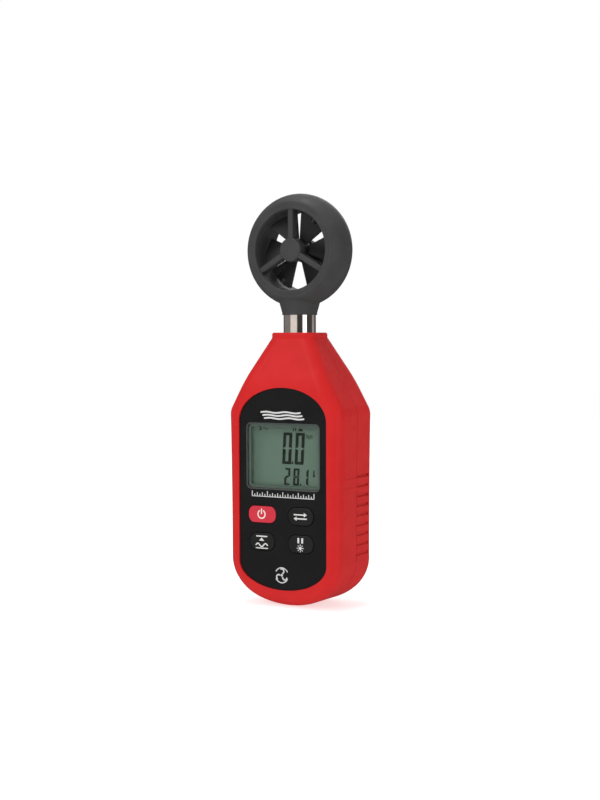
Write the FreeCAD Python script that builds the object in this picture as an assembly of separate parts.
import FreeCAD, Part
import math
import os
from FreeCAD import Vector

# Handheld vane anemometer: a two-part clamshell case with a recessed keypad panel,
# a short neck tube and a round vane head.  Millimetres, front face towards -Y, +Z up,
# origin at the bottom centre of the whole meter.

# ---- case -------------------------------------------------------------------
CASE_HEIGHT = 105.7
CASE_HALF_WIDTH = 25.4            # at the shoulders
FOOT_HALF_WIDTH = 24.8            # where the rounded foot begins
CASE_HALF_DEPTH = 14.0
FOOT_HEIGHT = 18.0                # height of the half-elliptic foot
SHOULDER_Z = 75.6                 # sides start to taper towards the neck
SLOPE_Z = 86.0                    # front and back start to slope towards the neck
TOP_STRAIGHT = 2.4                # short upright collar at the very top
TOP_HALF_WIDTH = 9.8
TOP_HALF_DEPTH = 8.2
SHOULDER_ROUND = 7.0
SLOPE_ROUND = 30.0
FOOT_ROUND_FRONT = 12.0           # rounding of the foot seen from the side
FOOT_ROUND_BACK = 3.0
FOOT_ROUND_END = 55.0             # degrees of that rounding before the foot flattens out
FRONT_EDGE_ROUND = 5.0
BACK_EDGE_ROUND = 4.5
TOP_EDGE_ROUND = 0.8
TOP_CORNER_ROUND = 5.0
WALL = 2.0
FRONT_WALL_INSIDE = -11.2         # inner face of the thicker front wall
SEAM_DEPTH = 0.2                  # shadow line where the two halves meet

# ---- grip grooves on the flanks ----------------------------------------------
GROOVE_COUNT = 9
GROOVE_TOP_Z = 50.6
GROOVE_PITCH = 3.75
GROOVE_WIDTH = 1.1
GROOVE_DEPTH_REAR = 0.7
GROOVE_DEPTH_FRONT = 0.2
GROOVE_REACH_FRONT = 9.2          # how far they run from the seam towards each face
GROOVE_REACH_REAR = 9.6

# ---- keypad panel and display --------------------------------------------------
PANEL_HALF_WIDTH = 19.5
PANEL_BOTTOM_Z = 6.6
PANEL_TOP_Z = 84.6
PANEL_TOP_ARCH = 13.0
PANEL_BOTTOM_ARCH = 10.5
PANEL_FACE = -13.3
PANEL_BACK = -12.2
DISPLAY_HALF_WIDTH = 16.4
DISPLAY_BOTTOM_Z = 45.2
DISPLAY_TOP_Z = 71.0
DISPLAY_CORNER = 2.0
FRAME_BAND = 0.45                 # width of the light frame around the window
SIGHT_HALF_WIDTH = 15.2           # opening in the case wall behind the window
SIGHT_BOTTOM_Z = 46.4
SIGHT_TOP_Z = 69.8
GLASS_HALF_WIDTH = 17.0
GLASS_BOTTOM_Z = 44.4
GLASS_TOP_Z = 71.6
GLASS_BACK = -9.0
BACKLIGHT_BOTTOM_Z = 47.2
BACKLIGHT_BACK = -7.2

# ---- keys: name, centre x, centre z, half width, half height, corner radius -----
KEYS = [
    ("power_button", -9.3, 35.5, 6.1, 3.2, 2.7),
    ("unit_button", 8.0, 35.5, 5.6, 3.4, 3.3),
    ("max_button", -9.3, 24.9, 5.6, 3.4, 3.3),
    ("hold_button", 8.0, 24.9, 5.6, 3.4, 3.3),
]
KEY_TOP = -13.85
KEY_DOME_RADIUS = 60.0
KEY_GAP = 0.2
KEY_FLANGE = 0.9                  # how far the flange reaches behind the case wall
KEY_FLANGE_FRONT = -11.1
KEY_FLANGE_BACK = -10.4

# ---- circuit board ---------------------------------------------------------------
BOARD_FRONT = -6.2
BOARD_BACK = -4.6
BOARD_HALF_WIDTH = 19.4
BOARD_BOTTOM_Z = 10.6
BOARD_TOP_Z = 79.0
BOARD_CORNER = 4.0
BOARD_POSTS = [(-16.6, 76.0), (16.6, 76.0), (-16.8, 15.4), (16.8, 15.4)]
POST_RADIUS = 2.3
SWITCH_SIDE = 6.0
SWITCH_TOP = -8.7
PLUNGER_TOP = -9.6
PLUNGER_RADIUS = 1.7
CONTROLLER_HALF_WIDTH = 5.0
CONTROLLER_Z = (47.0, 57.0)
CONTROLLER_HEIGHT = 1.5
# half length, half height, centre x, centre z and thickness of each small part on the back
SMALL_CHIPS = [(2.5, 2.0, 11.5, 62.5, 1.4), (2.5, 2.0, -12.0, 62.5, 1.4), (2.0, 0.8, 11.5, 52.8, 1.1)]
CAPACITOR_ROWS = [(-14.2, 42.4), (2.8, 38.4)]    # first centre x, centre z
CAPACITOR_COUNT = 5
CAPACITOR_PITCH = 2.6
CAPACITOR_HALF_LENGTH = 0.8
CAPACITOR_HALF_HEIGHT = 0.4
CAPACITOR_THICKNESS = 0.8
BUZZER_CENTRE = (-11.0, 71.5)
BUZZER_RADIUS = 4.6
BUZZER_HEIGHT = 3.6
PLUG_HALF_WIDTH = 3.6
PLUG_HEIGHT = 4.2
PLUG_Z = (76.0, 80.6)
BOARD_SCREW_HEAD_RADIUS = 1.9
BOARD_SCREW_HEAD_HEIGHT = 1.3
BOARD_SCREW_RADIUS = 0.8
BOARD_SCREW_REACH = 3.6           # in front of the board

# ---- case screws ----------------------------------------------------------------
CASE_SCREWS = [(-14.0, 83.2), (14.0, 83.2), (-12.4, 9.8), (12.4, 9.8)]
BOSS_RADIUS = 3.2
SCREW_HEAD_RADIUS = 2.4
SCREW_HEAD_HEIGHT = 1.7
SCREW_SEAT = 7.5                  # the screw heads sit on this depth
SCREW_RADIUS = 1.15
SCREW_TIP = -6.5

# ---- batteries: three AAA cells side by side --------------------------------------
CELL_RADIUS = 5.15
CELL_LENGTH = 43.6
CELL_NIPPLE_RADIUS = 1.9
CELL_NIPPLE = 0.9
CELL_PITCH = 10.7
CELL_Y = 6.7
BAY_HALF_WIDTH = 16.2
BAY_BOTTOM_Z = 14.4
BAY_TOP_Z = 63.4
BAY_FLOOR = 1.4
BAY_WALL = 1.8
CONTACT_THICKNESS = 0.4
DOOR_FACE = 14.0
DOOR_BACK = 12.2
DOOR_RIM = 0.9                    # ledge that the door rests on
DOOR_GAP = 0.2
DOOR_CORNER = 2.5

# ---- plain label plate let into the back above the battery door ---------------------
LABEL_HALF_WIDTH = 12.0
LABEL_BOTTOM_Z = 67.4
LABEL_TOP_Z = 76.4
LABEL_RECESS = 0.4
LABEL_THICKNESS = 0.25

# ---- neck tube ------------------------------------------------------------------
TUBE_RADIUS = 6.3
TUBE_WALL = 0.8
TUBE_BOTTOM_Z = 90.5
TUBE_TOP_Z = 117.6
COLLAR_RADIUS = 8.2
COLLAR_BOTTOM_Z = 93.4
COLLAR_HEIGHT = 3.0
CLAMP_WEB = 2.0

# ---- vane head --------------------------------------------------------------------
VANE_Z = 137.5
BARREL_RADIUS = 22.0
BARREL_HALF_DEPTH = 7.75
BARREL_BULGE = 10.4               # radius of the bulged outside
DUCT_RADIUS = 15.5
GUARD_RADIUS = 17.2
GUARD_RIM = 2.0
NECK_BOTTOM_Z = 112.5
NECK_LIP_Z = 113.3
NECK_BOTTOM_RADIUS = 6.8
NECK_TOP_HALF_WIDTH = 9.0
NECK_TOP_HALF_DEPTH = 7.6
NECK_TOP_Z = 120.0
SPOKE_COUNT = 3
SPOKE_WIDTH = 2.3
SPOKE_OUTSIDE = 7.2
SPOKE_INSIDE = 3.4
GUARD_HUB_RADIUS = 4.6
GUARD_HUB_OUTSIDE = 7.5
BEARING_RADIUS = 2.0
BEARING_OUTSIDE = 6.3
BEARING_INSIDE = 4.4
SHAFT_RADIUS = 0.75
SHAFT_CLEARANCE = 0.05
SHAFT_HALF_LENGTH = 6.1

BLADE_COUNT = 6
BLADE_TIP_RADIUS = 14.8
BLADE_HALF_ANGLE = 20.5           # degrees, seen from the front
BLADE_PITCH = 25.0                # degrees from the plane of the vane
BLADE_THICKNESS = 0.9
BLADE_PHASE = 30.0                # first blade, degrees clockwise from straight up
ROTOR_HUB_RADIUS = 4.2
ROTOR_HUB_HALF_DEPTH = 2.9
MAGNET_RADIUS = 0.9
MAGNET_LENGTH = 1.6
MAGNET_SLEEVE = 0.45              # wall of the small sleeve moulded round each magnet

SENSOR_POCKET_RADIUS = 4.5
SENSOR_POCKET_TOP_Z = 120.6
SENSOR_BOARD_Z = 118.0
SENSOR_BOARD_THICKNESS = 0.8
HALL_SENSOR_Y = (-2.4, -0.8)
HALL_SENSOR_HALF_WIDTH = 2.0
HALL_SENSOR_HEIGHT = 1.7
THERMISTOR_RADIUS = 0.7
THERMISTOR_Y = 3.6
THERMISTOR_TOP_Z = 123.2

# ---- sensor lead: centre line from the board plug up to the sensor board ------------
LEAD_RADIUS = 1.2
LEAD_ROUTE = [(0.0, -2.7, 80.6), (0.0, -2.2, 90.0), (0.0, -0.2, 104.0), (0.0, 0.0, 118.0)]

FAR = 60.0                        # larger than half the depth, for through cuts


# ==== helpers =========================================================================
def save(shape, name):
    shape.exportStep("parts/" + name + ".step")
    print(name, len(shape.Solids), "solid(s)", round(shape.Volume, 2), "mm3", shape.isValid())


def box(x0, x1, y0, y1, z0, z1):
    return Part.makeBox(x1 - x0, y1 - y0, z1 - z0, Vector(x0, y0, z0))


def rod_y(x, z, radius, y0, y1):
    """Round rod along Y."""
    return Part.makeCylinder(radius, y1 - y0, Vector(x, y0, z), Vector(0, 1, 0))


def rod_z(x, y, radius, z0, z1):
    """Round rod along Z."""
    return Part.makeCylinder(radius, z1 - z0, Vector(x, y, z0), Vector(0, 0, 1))


def line(a, b):
    return Part.LineSegment(Vector(*a), Vector(*b)).toShape()


def arc(a, middle, b):
    return Part.Arc(Vector(*a), Vector(*middle), Vector(*b)).toShape()


def closed_face(edges):
    return Part.Face(Part.Wire(Part.__sortEdges__(edges)))


def rounded_plate(half_width, z0, z1, corner, y0, y1, x=0.0):
    """Plate in the XZ plane with rounded corners, from y0 to y1."""
    plate = box(x - half_width, x + half_width, y0, y1, z0, z1)
    corners = [e for e in plate.Edges if abs(e.CenterOfMass.y - (y0 + y1) / 2) < 1e-6]
    return plate.makeFillet(corner, corners)


def merged(shapes):
    whole = shapes[0]
    for shape in shapes[1:]:
        whole = whole.fuse(shape)
    return whole.removeSplitter()


def cut_all(shape, tools):
    for tool in tools:
        shape = shape.cut(tool)
    return shape


# ==== case hull =========================================================================
def incline(low_half, high_half, low_z):
    """Slope of a tapering side up to the collar, and the length of that slope per unit of height."""
    slope = (low_half - high_half) / (CASE_HEIGHT - TOP_STRAIGHT - low_z)
    return slope, math.sqrt(1 + slope * slope)


def front_outline(inset):
    """Case outline seen from the front, extruded through the whole depth."""
    half_width = CASE_HALF_WIDTH - inset
    foot_half_width = FOOT_HALF_WIDTH - inset
    top = CASE_HEIGHT - inset
    taper, slant = incline(CASE_HALF_WIDTH, TOP_HALF_WIDTH, SHOULDER_Z)
    shoulder = SHOULDER_Z - inset * (slant - 1) / taper
    top_half_width = TOP_HALF_WIDTH - taper * (TOP_STRAIGHT - inset) - slant * inset
    rise = shoulder - FOOT_HEIGHT
    spread = half_width - foot_half_width
    side_radius = (rise ** 2 + spread ** 2) / (2 * spread)
    middle_z = FOOT_HEIGHT + rise / 2
    middle_x = foot_half_width + side_radius - math.sqrt(side_radius ** 2 - (rise / 2) ** 2)
    foot_curve = Part.Ellipse(Vector(foot_half_width, 0, FOOT_HEIGHT), Vector(0, 0, inset),
                              Vector(0, 0, FOOT_HEIGHT))
    edges = [Part.ArcOfEllipse(foot_curve, 0, math.pi).toShape()]
    for side in (-1, 1):
        edges.append(arc((side * foot_half_width, 0, FOOT_HEIGHT), (side * middle_x, 0, middle_z),
                         (side * half_width, 0, shoulder)))
        edges.append(line((side * half_width, 0, shoulder), (side * top_half_width, 0, top)))
    edges.append(line((-top_half_width, 0, top), (top_half_width, 0, top)))
    face = closed_face(edges)
    face.translate(Vector(0, -CASE_HALF_DEPTH, 0))
    solid = face.extrude(Vector(0, 2 * CASE_HALF_DEPTH, 0))
    shoulders = [e for e in solid.Edges
                 if abs(abs(e.CenterOfMass.x) - half_width) < 0.3 and abs(e.CenterOfMass.z - shoulder) < 0.3
                 and abs(e.CenterOfMass.y) < 0.1]
    return solid.makeFillet(SHOULDER_ROUND, shoulders)


def side_profile(inset):
    """Case outline seen from the side, extruded through the whole width."""
    half_depth = CASE_HALF_DEPTH - inset
    top = CASE_HEIGHT - inset
    slope, slant = incline(CASE_HALF_DEPTH, TOP_HALF_DEPTH, SLOPE_Z)
    slope_z = SLOPE_Z - inset * (slant - 1) / slope
    top_half_depth = TOP_HALF_DEPTH - slope * (TOP_STRAIGHT - inset) - slant * inset
    edges = [line((0, -top_half_depth, top), (0, top_half_depth, top))]
    foot_corners = []
    for side, radius in ((-1, FOOT_ROUND_FRONT), (1, FOOT_ROUND_BACK)):
        end = math.radians(FOOT_ROUND_END)
        radius -= inset
        round_z = radius * math.sin(end) + inset
        foot_y = half_depth - radius * (1 - math.cos(end))
        middle_y = half_depth - radius * (1 - math.cos(end / 2))
        middle_z = round_z - radius * math.sin(end / 2)
        edges.append(line((0, side * half_depth, round_z), (0, side * half_depth, slope_z)))
        edges.append(line((0, side * half_depth, slope_z), (0, side * top_half_depth, top)))
        edges.append(arc((0, side * half_depth, round_z), (0, side * middle_y, middle_z),
                         (0, side * foot_y, inset)))
        foot_corners.append((0, side * foot_y, inset))
    edges.append(line(foot_corners[0], foot_corners[1]))
    face = closed_face(edges)
    face.translate(Vector(-CASE_HALF_WIDTH - 1, 0, 0))
    solid = face.extrude(Vector(2 * CASE_HALF_WIDTH + 2, 0, 0))
    bends = [e for e in solid.Edges
             if abs(abs(e.CenterOfMass.y) - half_depth) < 0.3 and abs(e.CenterOfMass.z - slope_z) < 0.3]
    return solid.makeFillet(SLOPE_ROUND, bends)


def sharp_edges(solid, side, top):
    """Edges of the front (side -1) or back (side 1) face that are not smooth."""
    found = []
    for edge in solid.Edges:
        centre = edge.CenterOfMass
        if side * centre.y < 4 or abs(centre.z - top) < 0.01:
            continue
        point = edge.valueAt((edge.FirstParameter + edge.LastParameter) / 2)
        normals = [f.normalAt(*f.Surface.parameter(point)) for f in solid.Faces
                   if any(edge.isSame(other) for other in f.Edges)]
        if len(normals) == 2 and normals[0].getAngle(normals[1]) > math.radians(8):
            found.append(edge)
    return found


def case_hull(inset, front_round, back_round):
    """Whole case as one solid, shrunk by inset on all sides."""
    top = CASE_HEIGHT - inset
    solid = front_outline(inset).common(side_profile(inset)).Solids[0]
    solid = solid.makeFillet(front_round, sharp_edges(solid, -1, top)).Solids[0]
    return solid.makeFillet(back_round, sharp_edges(solid, 1, top)).Solids[0]


def with_collar(solid, inset):
    """Adds the short upright collar round the neck opening."""
    half_width, half_depth = TOP_HALF_WIDTH - inset, TOP_HALF_DEPTH - inset
    collar = box(-half_width, half_width, -half_depth, half_depth, CASE_HEIGHT - TOP_STRAIGHT - 1.0, CASE_HEIGHT)
    corners = [e for e in collar.Edges if abs(e.CenterOfMass.x) > 1 and abs(e.CenterOfMass.y) > 1]
    collar = collar.makeFillet(TOP_CORNER_ROUND - inset, corners)
    rim = [e for e in collar.Edges if abs(e.CenterOfMass.z - CASE_HEIGHT) < 0.01]
    return merged([solid, collar.makeFillet(TOP_EDGE_ROUND, rim)])


def panel_plate(gap, y0, y1):
    """Keypad panel outline: straight sides, arched top and bottom; shrunk by gap."""
    half_width = PANEL_HALF_WIDTH - gap
    side_top = PANEL_TOP_Z - PANEL_TOP_ARCH
    side_bottom = PANEL_BOTTOM_Z + PANEL_BOTTOM_ARCH
    edges = []
    for centre, reach in ((side_top, PANEL_TOP_ARCH - gap), (side_bottom, -PANEL_BOTTOM_ARCH + gap)):
        arch = Part.Ellipse(Vector(half_width, y0, centre), Vector(0, y0, centre + reach), Vector(0, y0, centre))
        edges.append(Part.ArcOfEllipse(arch, 0, math.pi).toShape())
    for side in (-1, 1):
        edges.append(line((side * half_width, y0, side_bottom), (side * half_width, y0, side_top)))
    return closed_face(edges).extrude(Vector(0, y1 - y0, 0))


def key_prism(key, grow, y0, y1):
    """Rounded key outline grown by the given amount, from y0 to y1."""
    name, x, z, half_width, half_height, corner = key
    return rounded_plate(half_width + grow, z - half_height - grow, z + half_height + grow,
                         corner + grow, y0, y1, x)


def groove_cutters(y0, y1, depth):
    """Cutters for the grip grooves of both flanks, from y0 to y1."""
    flank = (CASE_HALF_WIDTH + FOOT_HALF_WIDTH) / 2
    cutters = []
    for index in range(GROOVE_COUNT):
        z = GROOVE_TOP_Z - index * GROOVE_PITCH
        low, high = z - GROOVE_WIDTH / 2, z + GROOVE_WIDTH / 2
        cutters.append(box(flank - depth, FAR, y0, y1, low, high))
        cutters.append(box(-FAR, depth - flank, y0, y1, low, high))
    return cutters


# ==== case halves =========================================================================
outer_hull = with_collar(case_hull(0.0, FRONT_EDGE_ROUND, BACK_EDGE_ROUND), 0.0)
inner_hull = case_hull(WALL, FRONT_EDGE_ROUND - WALL, BACK_EDGE_ROUND - WALL)
seam_hull = with_collar(case_hull(SEAM_DEPTH, FRONT_EDGE_ROUND - SEAM_DEPTH, BACK_EDGE_ROUND - SEAM_DEPTH),
                        SEAM_DEPTH)
cavity = inner_hull.common(box(-FAR, FAR, FRONT_WALL_INSIDE, FAR, -1, CASE_HEIGHT + 1))

# Two webs across the cavity hold the collar of the neck tube between them.
clamp_webs = [box(-FAR, FAR, -FAR, FAR, low, low + CLAMP_WEB)
              for low in (COLLAR_BOTTOM_Z - CLAMP_WEB, COLLAR_BOTTOM_Z + COLLAR_HEIGHT)]
hollow = cut_all(cavity, clamp_webs)
tube_hole = rod_z(0, 0, TUBE_RADIUS, TUBE_BOTTOM_Z - 2, CASE_HEIGHT + 1)

case_solid = outer_hull.cut(hollow).cut(tube_hole)
front_half = box(-FAR, FAR, -FAR, 0, -1, CASE_HEIGHT + 1)
rear_half = box(-FAR, FAR, 0, FAR, -1, CASE_HEIGHT + 1)


def make_front_shell():
    shell = case_solid.common(front_half)
    solid_room = cavity.common(front_half)
    posts = [rod_y(x, z, POST_RADIUS, FRONT_WALL_INSIDE - 0.5, BOARD_FRONT) for x, z in BOARD_POSTS]
    posts += [rod_y(x, z, BOSS_RADIUS, FRONT_WALL_INSIDE - 0.5, 0) for x, z in CASE_SCREWS]
    shell = merged([shell] + [post.common(solid_room.fuse(shell)) for post in posts])
    cuts = [panel_plate(0.0, -FAR, PANEL_BACK)]
    cuts.append(rounded_plate(SIGHT_HALF_WIDTH, SIGHT_BOTTOM_Z, SIGHT_TOP_Z, 1.0, -FAR, FRONT_WALL_INSIDE + 1))
    for key in KEYS:
        cuts.append(key_prism(key, KEY_GAP, -FAR, FRONT_WALL_INSIDE + 1))
    cuts += [rod_y(x, z, 0.8, BOARD_FRONT - 4, 1) for x, z in BOARD_POSTS]
    cuts += [rod_y(x, z, SCREW_RADIUS, SCREW_TIP - 0.5, 1) for x, z in CASE_SCREWS]
    cuts += groove_cutters(-GROOVE_REACH_FRONT, 0, GROOVE_DEPTH_FRONT)
    return cut_all(shell, cuts)


def make_rear_shell():
    shell = case_solid.common(rear_half)
    bay_outside = box(-BAY_HALF_WIDTH - BAY_WALL, BAY_HALF_WIDTH + BAY_WALL, BAY_FLOOR - 1.0, DOOR_BACK,
                      BAY_BOTTOM_Z - BAY_WALL, BAY_TOP_Z + BAY_WALL)
    bosses = [rod_y(x, z, BOSS_RADIUS, 0, CASE_HALF_DEPTH - 1).common(outer_hull) for x, z in CASE_SCREWS]
    shell = merged([shell, bay_outside] + bosses)
    bay = box(-BAY_HALF_WIDTH, BAY_HALF_WIDTH, BAY_FLOOR, FAR, BAY_BOTTOM_Z, BAY_TOP_Z)
    door_seat = rounded_plate(BAY_HALF_WIDTH + DOOR_RIM, BAY_BOTTOM_Z - DOOR_RIM, BAY_TOP_Z + DOOR_RIM,
                              DOOR_CORNER, DOOR_BACK, FAR)
    cuts = [bay, door_seat]
    cuts += [rod_y(x, z, SCREW_HEAD_RADIUS + 0.2, SCREW_SEAT, FAR) for x, z in CASE_SCREWS]
    cuts += [rod_y(x, z, SCREW_RADIUS + 0.15, -1, SCREW_SEAT + 1) for x, z in CASE_SCREWS]
    cuts += groove_cutters(0, GROOVE_REACH_REAR, GROOVE_DEPTH_REAR)
    cuts.append(box(-FAR, FAR, -1, SEAM_DEPTH, -1, CASE_HEIGHT + 1).cut(seam_hull))
    cuts.append(rounded_plate(LABEL_HALF_WIDTH + 0.2, LABEL_BOTTOM_Z - 0.2, LABEL_TOP_Z + 0.2, 1.2,
                              CASE_HALF_DEPTH - LABEL_RECESS, FAR))
    return cut_all(shell, cuts)


# ==== front panel, display and keys ===========================================================
def make_front_panel():
    panel = panel_plate(0.05, PANEL_FACE, PANEL_BACK)
    cuts = [rounded_plate(DISPLAY_HALF_WIDTH, DISPLAY_BOTTOM_Z, DISPLAY_TOP_Z, DISPLAY_CORNER, -FAR, FAR)]
    cuts += [key_prism(key, KEY_GAP, -FAR, FAR) for key in KEYS]
    return cut_all(panel, cuts)


def display_plate(inset, y0, y1):
    return rounded_plate(DISPLAY_HALF_WIDTH - inset, DISPLAY_BOTTOM_Z + inset, DISPLAY_TOP_Z - inset,
                         DISPLAY_CORNER - inset, y0, y1)


def make_key(key):
    """Domed key cap with a flange that keeps it behind the case wall."""
    name, x, z, half_width, half_height, corner = key
    cap = key_prism(key, 0.0, KEY_TOP, KEY_FLANGE_FRONT)
    dome = Part.makeSphere(KEY_DOME_RADIUS, Vector(x, KEY_TOP + KEY_DOME_RADIUS, z))
    cap = cap.common(dome)
    crown = [e for e in cap.Edges if e.CenterOfMass.y < KEY_TOP + 0.6]
    cap = cap.makeFillet(0.3, crown)
    flange = key_prism(key, KEY_FLANGE, KEY_FLANGE_FRONT, KEY_FLANGE_BACK)
    return merged([cap, flange])


# ==== electronics ================================================================================
def make_circuit_board():
    board = rounded_plate(BOARD_HALF_WIDTH, BOARD_BOTTOM_Z, BOARD_TOP_Z, BOARD_CORNER, BOARD_FRONT, BOARD_BACK)
    cuts = [rod_y(x, z, BOSS_RADIUS + 0.3, -FAR, FAR) for x, z in CASE_SCREWS]
    cuts += [rod_y(x, z, 1.1, -FAR, FAR) for x, z in BOARD_POSTS]
    return cut_all(board, cuts)


def make_switches():
    switches = []
    half = SWITCH_SIDE / 2
    for name, x, z, half_width, half_height, corner in KEYS:
        body = box(x - half, x + half, SWITCH_TOP, BOARD_FRONT, z - half, z + half)
        plunger = rod_y(x, z, PLUNGER_RADIUS, PLUNGER_TOP, SWITCH_TOP)
        switches.append(merged([body, plunger]))
    return Part.makeCompound(switches)


def pan_screw(x, z, head_seat, head_radius, head_height, shank_radius, tip):
    """Screw along Y, head towards +Y, with a cross recess."""
    head = rod_y(x, z, head_radius, head_seat, head_seat + head_height)
    rim = [e for e in head.Edges if abs(e.CenterOfMass.y - head_seat - head_height) < 1e-6
           and isinstance(e.Curve, Part.Circle)]
    head = head.makeFillet(head_height * 0.45, rim)
    screw = merged([head, rod_y(x, z, shank_radius, tip, head_seat)])
    arm = head_radius * 0.62
    width = head_radius * 0.13
    for half_x, half_z in ((arm, width), (width, arm)):
        top = head_seat + head_height
        screw = screw.cut(box(x - half_x, x + half_x, top - head_height * 0.6, top + 1, z - half_z, z + half_z))
    return screw


def make_small_components():
    """Small parts on the back of the board: two chips, a crystal and two rows of capacitors."""
    parts = list(SMALL_CHIPS)
    for first_x, z in CAPACITOR_ROWS:
        for index in range(CAPACITOR_COUNT):
            parts.append((CAPACITOR_HALF_LENGTH, CAPACITOR_HALF_HEIGHT, first_x + index * CAPACITOR_PITCH, z,
                          CAPACITOR_THICKNESS))
    return Part.makeCompound([box(x - half_length, x + half_length, BOARD_BACK, BOARD_BACK + thickness,
                                  z - half_height, z + half_height)
                              for half_length, half_height, x, z, thickness in parts])


# ==== batteries and their contacts ==============================================================
def make_cell(index):
    """AAA cell standing upright; the middle one is upside down."""
    x = (index - 1) * CELL_PITCH
    upright = index != 1
    room = BAY_TOP_Z - BAY_BOTTOM_Z - 2 * CONTACT_THICKNESS
    spring_room = room - CELL_LENGTH - CELL_NIPPLE
    low = BAY_BOTTOM_Z + CONTACT_THICKNESS + (spring_room if upright else CELL_NIPPLE)
    body = rod_z(x, CELL_Y, CELL_RADIUS, low, low + CELL_LENGTH)
    rims = [e for e in body.Edges if isinstance(e.Curve, Part.Circle)]
    body = body.makeFillet(0.5, rims)
    if upright:
        nipple = rod_z(x, CELL_Y, CELL_NIPPLE_RADIUS, low + CELL_LENGTH, low + CELL_LENGTH + CELL_NIPPLE)
    else:
        nipple = rod_z(x, CELL_Y, CELL_NIPPLE_RADIUS, low - CELL_NIPPLE, low)
    return merged([body, nipple])


def make_contact_plates():
    """End plates in the bay: single ones at the two ends of the chain, double ones between cells."""
    left, right = -CELL_PITCH, CELL_PITCH
    spans = [("top", left, left), ("top", 0.0, right), ("bottom", left, 0.0), ("bottom", right, right)]
    plates = []
    for end, first, last in spans:
        if end == "top":
            z0 = BAY_TOP_Z - CONTACT_THICKNESS
        else:
            z0 = BAY_BOTTOM_Z
        plates.append(box(first - 3.6, last + 3.6, BAY_FLOOR + 1.0, BAY_FLOOR + 9.4, z0, z0 + CONTACT_THICKNESS))
    return Part.makeCompound(plates)


def make_contact_springs():
    """Bowed leaf springs that press on the flat end of each cell."""
    springs = []
    room = BAY_TOP_Z - BAY_BOTTOM_Z - 2 * CONTACT_THICKNESS - CELL_LENGTH - CELL_NIPPLE
    for index in range(3):
        x = (index - 1) * CELL_PITCH
        upright = index != 1
        base = BAY_BOTTOM_Z + CONTACT_THICKNESS if upright else BAY_TOP_Z - CONTACT_THICKNESS
        away = 1 if upright else -1
        crest = base + away * room
        under = base + away * (room - 0.3)
        y0, y1 = CELL_Y - 3.2, CELL_Y + 3.2
        outer_bow = arc((0, y0, base), (0, CELL_Y, crest), (0, y1, base))
        inner_bow = arc((0, y0 + 0.4, base), (0, CELL_Y, under), (0, y1 - 0.4, base))
        feet = [line((0, y0, base), (0, y0 + 0.4, base)), line((0, y1 - 0.4, base), (0, y1, base))]
        leaf = closed_face([outer_bow, inner_bow] + feet)
        leaf.translate(Vector(x - 1.5, 0, 0))
        springs.append(leaf.extrude(Vector(3.0, 0, 0)))
    return Part.makeCompound(springs)


def make_battery_door():
    rim = DOOR_RIM - DOOR_GAP
    door = rounded_plate(BAY_HALF_WIDTH + rim, BAY_BOTTOM_Z - rim, BAY_TOP_Z + rim,
                         DOOR_CORNER - DOOR_GAP, DOOR_BACK, DOOR_FACE)
    # Finger grooves for the thumb.
    top = BAY_TOP_Z + rim
    cuts = []
    for index in range(5):
        z = top - 5.0 - index * 2.0
        cuts.append(box(-6.0, 6.0, DOOR_FACE - 0.6, DOOR_FACE + 1, z - 0.5, z + 0.5))
    # Slots beside the latch tongue at the top edge.
    for side in (-1, 1):
        x = side * 8.0
        cuts.append(box(x - 0.5, x + 0.5, DOOR_BACK - 1, DOOR_FACE + 1, top - 4.5, top + 1))
    return cut_all(door, cuts)


# ==== neck tube and its collar =================================================================
def make_neck_tube():
    tube = rod_z(0, 0, TUBE_RADIUS, TUBE_BOTTOM_Z, TUBE_TOP_Z)
    return tube.cut(rod_z(0, 0, TUBE_RADIUS - TUBE_WALL, TUBE_BOTTOM_Z - 1, TUBE_TOP_Z + 1))


def make_collar():
    top = COLLAR_BOTTOM_Z + COLLAR_HEIGHT
    collar = rod_z(0, 0, COLLAR_RADIUS, COLLAR_BOTTOM_Z, top)
    return collar.cut(rod_z(0, 0, TUBE_RADIUS, COLLAR_BOTTOM_Z - 1, top + 1))


# ==== vane head =================================================================================
def vane_disc(radius, y0, y1):
    return rod_y(0, VANE_Z, radius, y0, y1)


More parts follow.
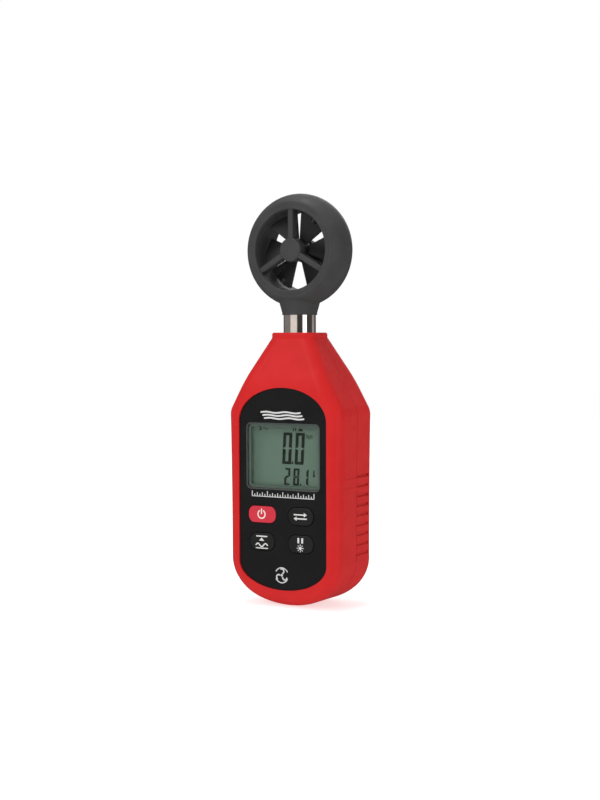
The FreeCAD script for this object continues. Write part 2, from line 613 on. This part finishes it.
def make_barrel():
    """Bulged ring with a round duct, grown into a conical neck that takes the tube."""
    arc_centre = BARREL_RADIUS - BARREL_BULGE
    face_radius = arc_centre + math.sqrt(BARREL_BULGE ** 2 - BARREL_HALF_DEPTH ** 2)
    depth = BARREL_HALF_DEPTH
    edges = [line((0, -depth, VANE_Z), (face_radius, -depth, VANE_Z)),
             arc((face_radius, -depth, VANE_Z), (BARREL_RADIUS, 0, VANE_Z), (face_radius, depth, VANE_Z)),
             line((face_radius, depth, VANE_Z), (0, depth, VANE_Z)),
             line((0, depth, VANE_Z), (0, -depth, VANE_Z))]
    ring = closed_face(edges).revolve(Vector(0, 0, VANE_Z), Vector(0, 1, 0), 360)
    rims = [e for e in ring.Edges if isinstance(e.Curve, Part.Circle) and abs(abs(e.CenterOfMass.y) - depth) < 1e-6]
    ring = ring.makeFillet(0.8, rims)
    foot_ring = Part.Wire(Part.makeCircle(NECK_BOTTOM_RADIUS, Vector(0, 0, NECK_LIP_Z)))
    oval = Part.Ellipse(Vector(NECK_TOP_HALF_WIDTH, 0, NECK_TOP_Z), Vector(0, NECK_TOP_HALF_DEPTH, NECK_TOP_Z),
                        Vector(0, 0, NECK_TOP_Z))
    cone = Part.makeLoft([foot_ring, Part.Wire(oval.toShape())], True)
    lip = rod_z(0, 0, NECK_BOTTOM_RADIUS, NECK_BOTTOM_Z, NECK_LIP_Z)
    core = rod_z(0, 0, BARREL_HALF_DEPTH - 0.4, NECK_TOP_Z - 0.5, VANE_Z - DUCT_RADIUS + 1)
    body = merged([ring, cone, lip, core])
    cuts = [vane_disc(DUCT_RADIUS, -FAR, FAR),
            vane_disc(GUARD_RADIUS, -FAR, -depth + GUARD_RIM),
            vane_disc(GUARD_RADIUS, depth - GUARD_RIM, FAR),
            rod_z(0, 0, TUBE_RADIUS, NECK_BOTTOM_Z - 1, TUBE_TOP_Z),
            rod_z(0, 0, SENSOR_POCKET_RADIUS, TUBE_TOP_Z - 0.1, SENSOR_POCKET_TOP_Z),
            rod_z(0, THERMISTOR_Y, THERMISTOR_RADIUS + 0.1, SENSOR_POCKET_TOP_Z - 1, VANE_Z)]
    return cut_all(body, cuts)


def make_guard():
    """Front guard: rim, three spokes and a hub with a pocket for the bearing."""
    depth = BARREL_HALF_DEPTH
    rim = vane_disc(GUARD_RADIUS, -depth, -depth + GUARD_RIM).cut(vane_disc(DUCT_RADIUS, -FAR, FAR))
    inner_edge = [e for e in rim.Edges if isinstance(e.Curve, Part.Circle)
                  and abs(e.Curve.Radius - DUCT_RADIUS) < 1e-6 and e.CenterOfMass.y < -depth + 0.1]
    rim = rim.makeFillet(0.5, inner_edge)
    hub = vane_disc(GUARD_HUB_RADIUS, -GUARD_HUB_OUTSIDE, -SPOKE_INSIDE)
    hub_edge = [e for e in hub.Edges if isinstance(e.Curve, Part.Circle) and e.CenterOfMass.y < -7]
    hub = hub.makeFillet(0.6, hub_edge)
    parts = [rim, hub]
    # A spoke runs into the rim in front, and stops just short of the duct wall behind the rim.
    spoke_room = rod_y(0, 0, DUCT_RADIUS - 0.05, -FAR, FAR).fuse(
        rod_y(0, 0, DUCT_RADIUS + 0.6, -SPOKE_OUTSIDE, -depth + GUARD_RIM))
    for index in range(SPOKE_COUNT):
        spoke = box(-SPOKE_WIDTH / 2, SPOKE_WIDTH / 2, -SPOKE_OUTSIDE, -SPOKE_INSIDE, 0.5, DUCT_RADIUS + 0.6)
        spoke = spoke.common(spoke_room)
        long_edges = [e for e in spoke.Edges if abs(e.CenterOfMass.y + SPOKE_OUTSIDE) < 0.01
                      and abs(abs(e.CenterOfMass.x) - SPOKE_WIDTH / 2) < 0.01]
        spoke = spoke.makeFillet(0.5, long_edges)
        spoke.translate(Vector(0, 0, VANE_Z))
        spoke.rotate(Vector(0, 0, VANE_Z), Vector(0, 1, 0), index * 360.0 / SPOKE_COUNT)
        parts.append(spoke)
    guard = merged(parts)
    return guard.cut(vane_disc(BEARING_RADIUS, -BEARING_OUTSIDE, 0))


def mirrored(shape):
    return shape.mirror(Vector(0, 0, 0), Vector(0, 1, 0))


def make_bearing():
    ring = vane_disc(BEARING_RADIUS, -BEARING_OUTSIDE, -BEARING_INSIDE)
    return ring.cut(vane_disc(SHAFT_RADIUS + SHAFT_CLEARANCE, -FAR, 0))


def sector(inner, outer, half_angle, y0, y1):
    """Ring sector around the vertical through the vane centre, opening upwards from it."""
    spread = math.radians(half_angle)
    reach = outer * 1.6
    corner_x, corner_z = reach * math.sin(spread), reach * math.cos(spread)
    wedge = closed_face([line((0, y0, 0), (corner_x, y0, corner_z)),
                         line((corner_x, y0, corner_z), (-corner_x, y0, corner_z)),
                         line((-corner_x, y0, corner_z), (0, y0, 0))]).extrude(Vector(0, y1 - y0, 0))
    ring = rod_y(0, 0, outer, y0, y1).cut(rod_y(0, 0, inner, y0 - 1, y1 + 1))
    return wedge.common(ring)


def magnet_rod(radius, length):
    rods = []
    for side in (0, 180):
        rod = rod_z(0, 0, radius, BLADE_TIP_RADIUS - 0.35 - length, BLADE_TIP_RADIUS - 0.35)
        rod.translate(Vector(0, 0, VANE_Z))
        rod.rotate(Vector(0, 0, VANE_Z), Vector(0, 1, 0), BLADE_PHASE + side)
        rods.append(rod)
    return rods


def make_impeller():
    """Hub with pitched blades; two opposite blades carry a sleeve for a magnet near the tip."""
    chord = BLADE_TIP_RADIUS * math.sin(math.radians(BLADE_HALF_ANGLE)) * 2.4
    plate = box(-chord / 2, chord / 2, -BLADE_THICKNESS / 2, BLADE_THICKNESS / 2, 0, BLADE_TIP_RADIUS + 1)
    plate.rotate(Vector(0, 0, 0), Vector(0, 0, 1), BLADE_PITCH)
    window = sector(ROTOR_HUB_RADIUS - 0.8, BLADE_TIP_RADIUS, BLADE_HALF_ANGLE, -5, 5)
    blade = plate.common(window)
    hub = vane_disc(ROTOR_HUB_RADIUS, -ROTOR_HUB_HALF_DEPTH, ROTOR_HUB_HALF_DEPTH)
    hub = hub.makeFillet(0.6, [e for e in hub.Edges if isinstance(e.Curve, Part.Circle)])
    parts = [hub]
    for index in range(BLADE_COUNT):
        turned = blade.copy()
        turned.translate(Vector(0, 0, VANE_Z))
        turned.rotate(Vector(0, 0, VANE_Z), Vector(0, 1, 0), BLADE_PHASE + index * 360.0 / BLADE_COUNT)
        parts.append(turned)
    parts += magnet_rod(MAGNET_RADIUS + MAGNET_SLEEVE, MAGNET_LENGTH + 0.5)
    rotor = merged(parts)
    rotor = rotor.common(vane_disc(BLADE_TIP_RADIUS, -5, 5))
    cuts = [vane_disc(SHAFT_RADIUS, -FAR, FAR)] + magnet_rod(MAGNET_RADIUS, MAGNET_LENGTH)
    return cut_all(rotor, cuts)


# ==== sensor lead ===============================================================================
def lead_path():
    """Straight runs joined by tangent arcs, each arc as large as its shorter run allows."""
    points = [Vector(*p) for p in LEAD_ROUTE]
    edges = []
    start = points[0]
    for before, corner, after in zip(points, points[1:], points[2:]):
        incoming = (corner - before).normalize()
        outgoing = (after - corner).normalize()
        half_turn = incoming.getAngle(outgoing) / 2
        run = min((corner - before).Length, (after - corner).Length)
        reach = 0.45 * run
        radius = reach / math.tan(half_turn)
        print("lead bend radius", round(radius, 1))
        first = corner - incoming * reach
        last = corner + outgoing * reach
        towards_centre = (outgoing - incoming).normalize()
        sagitta = radius / math.cos(half_turn) - radius
        middle = corner + towards_centre * sagitta
        edges.append(Part.LineSegment(start, first).toShape())
        edges.append(Part.Arc(first, middle, last).toShape())
        start = last
    edges.append(Part.LineSegment(start, points[-1]).toShape())
    return Part.Wire(edges)


def make_lead():
    path = lead_path()
    first = path.OrderedVertexes[0].Point
    tangent = (Vector(*LEAD_ROUTE[1]) - Vector(*LEAD_ROUTE[0])).normalize()
    section = Part.Wire(Part.makeCircle(LEAD_RADIUS, first, tangent))
    lead = path.makePipeShell([section], True, True)
    print("lead volume", round(lead.Volume, 1), "expected",
          round(math.pi * LEAD_RADIUS ** 2 * path.Length, 1))
    return lead


# ==== build ====================================================================================
os.makedirs("parts", exist_ok=True)

save(make_front_shell(), "front_shell")
save(make_rear_shell(), "rear_shell")
save(make_front_panel(), "front_panel")
save(display_plate(0.02, PANEL_FACE - 0.05, PANEL_BACK).cut(display_plate(FRAME_BAND, -FAR, FAR)), "lcd_frame")
save(display_plate(FRAME_BAND, PANEL_FACE + 0.1, PANEL_BACK), "display_window")
save(rounded_plate(GLASS_HALF_WIDTH, GLASS_BOTTOM_Z, GLASS_TOP_Z, 0.5, FRONT_WALL_INSIDE, GLASS_BACK), "lcd_glass")
save(box(-GLASS_HALF_WIDTH + 0.5, GLASS_HALF_WIDTH - 0.5, GLASS_BACK, BACKLIGHT_BACK,
         BACKLIGHT_BOTTOM_Z, GLASS_TOP_Z - 0.5), "backlight_plate")
save(box(-GLASS_HALF_WIDTH + 1, GLASS_HALF_WIDTH - 1, GLASS_BACK, BOARD_FRONT,
         GLASS_BOTTOM_Z + 0.3, GLASS_BOTTOM_Z + 2.3), "lcd_connector")
for key in KEYS:
    save(make_key(key), key[0])
save(make_switches(), "tactile_switches")
save(make_circuit_board(), "circuit_board")
save(box(-CONTROLLER_HALF_WIDTH, CONTROLLER_HALF_WIDTH, BOARD_BACK, BOARD_BACK + CONTROLLER_HEIGHT,
         *CONTROLLER_Z), "controller_chip")
save(make_small_components(), "board_components")
save(rod_y(*BUZZER_CENTRE, BUZZER_RADIUS, BOARD_BACK, BOARD_BACK + BUZZER_HEIGHT), "buzzer")
save(box(-PLUG_HALF_WIDTH, PLUG_HALF_WIDTH, BOARD_BACK, BOARD_BACK + PLUG_HEIGHT, *PLUG_Z), "lead_connector")
save(Part.makeCompound([pan_screw(x, z, BOARD_BACK, BOARD_SCREW_HEAD_RADIUS, BOARD_SCREW_HEAD_HEIGHT,
                                  BOARD_SCREW_RADIUS, BOARD_FRONT - BOARD_SCREW_REACH)
                        for x, z in BOARD_POSTS]), "board_screws")
save(Part.makeCompound([pan_screw(x, z, SCREW_SEAT, SCREW_HEAD_RADIUS, SCREW_HEAD_HEIGHT,
                                  SCREW_RADIUS, SCREW_TIP)
                        for x, z in CASE_SCREWS]), "case_screws")
for cell_index in range(3):
    save(make_cell(cell_index), "battery_" + str(cell_index + 1))
save(make_contact_plates(), "contact_plates")
save(make_contact_springs(), "contact_springs")
save(make_battery_door(), "battery_door")
save(rounded_plate(LABEL_HALF_WIDTH, LABEL_BOTTOM_Z, LABEL_TOP_Z, 1.0, CASE_HALF_DEPTH - LABEL_RECESS,
                   CASE_HALF_DEPTH - LABEL_RECESS + LABEL_THICKNESS), "rear_label")
save(make_neck_tube(), "neck_tube")
save(make_collar(), "tube_collar")
save(make_lead(), "sensor_lead")
save(make_barrel(), "vane_barrel")
front_guard = make_guard()
save(front_guard, "front_guard")
save(mirrored(front_guard), "rear_guard")
save(make_bearing(), "bearing_front")
save(mirrored(make_bearing()), "bearing_rear")
save(make_impeller(), "impeller")
save(vane_disc(SHAFT_RADIUS, -SHAFT_HALF_LENGTH, SHAFT_HALF_LENGTH), "impeller_shaft")
save(Part.makeCompound(magnet_rod(MAGNET_RADIUS, MAGNET_LENGTH)), "rotor_magnets")
board_top = SENSOR_BOARD_Z + SENSOR_BOARD_THICKNESS
save(rod_z(0, 0, SENSOR_POCKET_RADIUS, SENSOR_BOARD_Z, board_top), "sensor_board")
save(box(-HALL_SENSOR_HALF_WIDTH, HALL_SENSOR_HALF_WIDTH, *HALL_SENSOR_Y, board_top,
         board_top + HALL_SENSOR_HEIGHT), "hall_sensor")
thermistor = rod_z(0, THERMISTOR_Y, THERMISTOR_RADIUS, board_top, THERMISTOR_TOP_Z - THERMISTOR_RADIUS)
bead = Part.makeSphere(THERMISTOR_RADIUS, Vector(0, THERMISTOR_Y, THERMISTOR_TOP_Z - THERMISTOR_RADIUS))
save(merged([thermistor, bead]), "thermistor")
